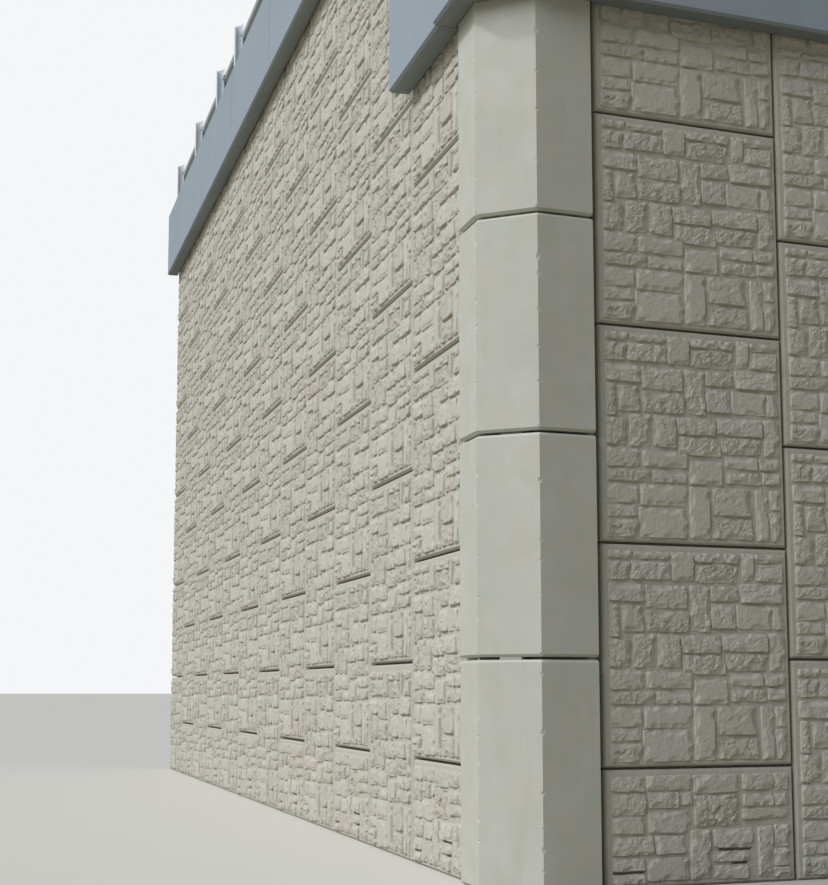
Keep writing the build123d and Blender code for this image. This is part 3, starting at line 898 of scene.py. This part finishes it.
def needled_cloth(colours):
    """Needle-punched filter cloth: dark grey felt with a dimple pattern and mud stains."""
    material, tree, shader, where = new_material("needled_filter_cloth")
    stain = pattern(tree, where, 350, 5, 0.65)
    colour = laid_over(tree, linear(colours.cloth), linear(colours.mud), stain, 0.48, 0.75, 0.55)
    # Needle marks are 2 mm apart, too fine to show
    dimples = add_node(tree, "ShaderNodeTexVoronoi", {"Vector": where, "Scale": per_metre(9)})
    finish_with(tree, shader, colour, 0.95, dimples.outputs["Distance"], 0.4, 0.002)
    shader.inputs["Sheen Weight"].default_value = 0.3
    return material


def dress(prefixes, material):
    """Gives the CAD nodes whose names start so their material."""
    for name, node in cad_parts.items():
        if name.startswith(prefixes):
            node.data.materials.clear()
            node.data.materials.append(material)


def stone_cells(side, number):
    """Cells of the stones' grids along and up a column, mm: finest nearest the corner."""
    if side == "right":
        return ((11.5, 11.5), (14.5, 14.5), (28, 28), (32, 32))[number - 1]
    return (30, 15.5) if number <= 3 else (44, 23) if number <= 6 else (62, 32)


# Operators

class WALL_OT_cast_panels(bpy.types.Operator):
    """Cast the stone relief of every panel, column by column"""
    bl_idname = "wall.cast_panels"
    bl_label = "Cast panels"

    def execute(self, context):
        sizes = context.scene.wall_relief
        material = stained_panel_concrete(context.scene.wall_colours)
        for name in sorted(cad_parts):
            if "_column_" not in name:
                continue
            side, _, number = name.split("_")
            number = int(number)
            piece = column_piece(name, side, *stone_cells(side, number), material, sizes)
            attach(piece, BODY)
            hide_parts(name)
        return {"FINISHED"}


class WALL_OT_finish_blocks(bpy.types.Operator):
    """Finish the smooth corner blocks"""
    bl_idname = "wall.finish_blocks"
    bl_label = "Finish corner blocks"

    def execute(self, context):
        colours, fittings = context.scene.wall_colours, context.scene.wall_fittings
        sizes = context.scene.wall_relief
        material = stained_block_concrete(colours)
        blocks = sorted(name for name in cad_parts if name.startswith("corner_block_"))
        for name in blocks:
            piece = chipped_block(name, material, sizes)
            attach(piece, BODY)
            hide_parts(name)

        along, outward = corner_axes(sizes.wing_angle)
        places = []
        for lower, upper, setback in zip(blocks, blocks[1:], SHIM_SETBACKS):
            points, _ = node_arrays(lower)
            middle = front_of(points, outward).mean(0)
            centre = middle - outward * (setback + fittings.shim_depth / 2)
            # A block's front bed lies under its lap, so it's the second highest level
            bed, above = np.unique(points[:, 2].round(1))[-2], node_arrays(upper)[0][:, 2].min()
            places.append(np.array([centre[0], centre[1], bed]))
        shim = block_of(fittings.shim_length, fittings.shim_depth, above - bed, SHIM_ARRIS)
        axes = np.array([along, -outward, [0, 0, 1.0]])
        material = moulded_pad("moulded_polyethylene", colours.shim)
        piece = repeated("corner_shims", [([shim], places, axes)], material)
        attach(piece, BODY)
        return {"FINISHED"}


class WALL_OT_coat_copings(bpy.types.Operator):
    """Coat the low and high copings"""
    bl_idname = "wall.coat_copings"
    bl_label = "Coat copings"

    def execute(self, context):
        dress(("low_coping", "high_coping"), coping_coating(context.scene.wall_colours))
        return {"FINISHED"}


class WALL_OT_fit_rail(bpy.types.Operator):
    """Finish the posts and beams of the rail"""
    bl_idname = "wall.fit_rail"
    bl_label = "Fit rail"

    def execute(self, context):
        colours = context.scene.wall_colours
        post_zinc = galvanised_steel("galvanised_post", colours.zinc, metallic=0.05, spangle=14)
        beam_zinc = galvanised_steel("galvanised_beam", colours.dull_zinc, metallic=0.3, spangle=18)
        dress(("rail_posts",), post_zinc)
        dress(("rail_beams",), beam_zinc)
        fittings = context.scene.wall_fittings
        centres = post_centres()
        anchors = [
            centre + (x * ANCHOR_REACH[0], y * ANCHOR_REACH[1], 0)
            for centre in centres for x in (-1, 1) for y in (-1, 1)]
        shapes = anchor_shapes(fittings.anchor, fittings.anchor_stand)
        piece = repeated("anchor_bolts", [(shapes, anchors, np.eye(3))], post_zinc)
        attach(piece, BODY)

        points, _ = node_arrays("rail_beams")
        low, high = points.min(0), points.max(0)
        middle = (low[2] + high[2]) / 2
        valley = low[1] + BEAM_THICKNESS
        at_posts = [np.array([centre[0] + POST_BOLT_OFFSET, valley, middle]) for centre in centres]
        spots = [(valley, level) for level in LAP_BOLTS_IN_VALLEY]
        spots += [(high[1], level) for level in LAP_BOLTS_ON_CRESTS]
        at_laps = [
            np.array([centre[0] + x, depth, middle + level])
            for centre in centres[2:-1:2] for x in LAP_BOLTS_ALONG for depth, level in spots]
        to_road = np.array([[1.0, 0, 0], [0, 0, -1], [0, 1, 0]])
        piece = repeated("beam_bolts", [
            (button_shapes(fittings.beam_bolt, BEAM_THICKNESS + POST_FLANGE), at_posts, to_road),
            (button_shapes(fittings.beam_bolt, BEAM_THICKNESS), at_laps, to_road),
        ], beam_zinc)
        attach(piece, BODY)
        return {"FINISHED"}


class WALL_OT_finish_backs(bpy.types.Operator):
    """Finish the bearing pads, tie strips and filter cloth"""
    bl_idname = "wall.finish_backs"
    bl_label = "Finish backs"

    def execute(self, context):
        colours = context.scene.wall_colours
        tie_zinc = galvanised_steel("galvanised_tie", colours.dull_zinc, metallic=0.5, spangle=10)
        dress(("bearing_pads",), moulded_pad("moulded_rubber", colours.pad))
        dress(("tie_strips",), tie_zinc)
        sizes, fittings = context.scene.wall_relief, context.scene.wall_fittings
        for name in sorted(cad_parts):
            if not name.startswith("tie_strips"):
                continue
            side = name.split("_")[2]
            across, outward = wing_directions(side, sizes.wing_angle)
            places = [end + outward * TIE_BOLT_INSET for end in strip_ends(name, side, sizes)]
            axes = np.array([across, -outward, [0, 0, 1.0]])
            shapes = tie_bolt_shapes(fittings.tie_bolt, TIE_THICKNESS)
            piece = repeated(name.replace("strips", "bolts"), [(shapes, places, axes)], tie_zinc)
            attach(piece, BODY)
        dress(("joint_cloth",), needled_cloth(colours))
        return {"FINISHED"}


class WALL_OT_set_stage(bpy.types.Operator):
    """Set the floor, the lamps and the camera"""
    bl_idname = "wall.set_stage"
    bl_label = "Set stage"

    def execute(self, context):
        look, colours = context.scene.wall_stage, context.scene.wall_colours
        # Painted boards: dull, and darker for the light that they throw on the wall
        material, tree, shader, _ = new_material("studio_floor")
        seen = add_node(tree, "ShaderNodeLightPath").outputs["Is Camera Ray"]
        colour = laid_over(tree, linear(colours.floor_bounce), linear(colours.floor), seen, 0, 1)
        tree.links.new(colour, shader.inputs["Base Color"])
        shader.inputs["Roughness"].default_value = 0.9
        shader.inputs["Specular IOR Level"].default_value = 0.1
        around = np.linspace(0, 2 * pi, FLOOR_SIDES, endpoint=False)
        ring = FLOOR_RADIUS * np.stack([np.cos(around), np.sin(around), 0 * around], -1)
        ring[:, 2] = -FLOOR_DROP
        mesh = bpy.data.meshes.new("floor")
        mesh.from_pydata(ring.tolist(), [], [list(range(FLOOR_SIDES))])
        mesh.materials.append(material)
        linked("floor", mesh)

        world = bpy.data.worlds.new("plain_surroundings")
        world.use_nodes = True
        tree = world.node_tree
        tree.nodes.clear()
        sky = add_node(tree, "ShaderNodeBackground", {
            "Color": linear(colours.sky), "Strength": look.sky})
        seen = add_node(tree, "ShaderNodeBackground", {"Color": linear(colours.backdrop)})
        path = add_node(tree, "ShaderNodeLightPath")
        mixed = add_node(tree, "ShaderNodeMixShader", {
            0: path.outputs["Is Camera Ray"], 1: sky.outputs[0], 2: seen.outputs[0]})
        add_node(tree, "ShaderNodeOutputWorld", {"Surface": mixed.outputs[0]})
        context.scene.world = world

        # Each lamp's strength, width in degrees, colour, and the direction towards it
        for name, strength, width, colour, towards in (
            ("key", look.key, 45, (0.985, 0.99, 1.0), (0.6, -1.0, 0.8)),
            ("sun", look.sun, 6, (1.0, 0.985, 0.95), (-0.2, -1.0, 0.95)),
        ):
            data = bpy.data.lights.new(name, "SUN")
            data.energy = strength
            data.angle = radians(width)
            data.color = colour
            linked(name, data).rotation_euler = Vector(towards).to_track_quat("Z", "Y").to_euler()

        data = bpy.data.cameras.new("camera")
        data.lens = look.lens
        data.sensor_width = 36
        data.clip_end = 2000
        camera = linked("camera", data)
        camera.location = look.eye
        level = cos(look.pitch)
        forward = Vector((look.heading[0] * level, look.heading[1] * level, sin(look.pitch)))
        camera.rotation_euler = forward.to_track_quat("-Z", "Y").to_euler()
        context.scene.camera = camera
        context.scene.view_settings.view_transform = "Standard"
        return {"FINISHED"}


class VIEW3D_PT_retaining_wall(bpy.types.Panel):
    """Buttons for each group of pieces"""
    bl_label = "Retaining wall"
    bl_space_type = "VIEW_3D"
    bl_region_type = "UI"
    bl_category = "Wall"

    def draw(self, context):
        for operator in OPERATORS:
            self.layout.operator(operator.bl_idname)


OPERATORS = (
    WALL_OT_cast_panels, WALL_OT_finish_blocks, WALL_OT_coat_copings, WALL_OT_fit_rail,
    WALL_OT_finish_backs, WALL_OT_set_stage,
)
SETTINGS = {
    "wall_relief": ReliefSizes, "wall_colours": FinishColours, "wall_fittings": FittingSizes,
    "wall_stage": StageLook,
}
CLASSES = (*SETTINGS.values(), *OPERATORS, VIEW3D_PT_retaining_wall)


def register():
    for item in CLASSES:
        bpy.utils.register_class(item)
    for name, group in SETTINGS.items():
        setattr(bpy.types.Scene, name, PointerProperty(type=group))


def unregister():
    for name in SETTINGS:
        delattr(bpy.types.Scene, name)
    for item in reversed(CLASSES):
        bpy.utils.unregister_class(item)


def main():
    """Registers the add-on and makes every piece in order."""
    register()
    bpy.ops.wall.cast_panels()
    bpy.ops.wall.finish_blocks()
    bpy.ops.wall.coat_copings()
    bpy.ops.wall.fit_rail()
    bpy.ops.wall.finish_backs()
    bpy.ops.wall.set_stage()


if __name__ == "__main__":
    main()
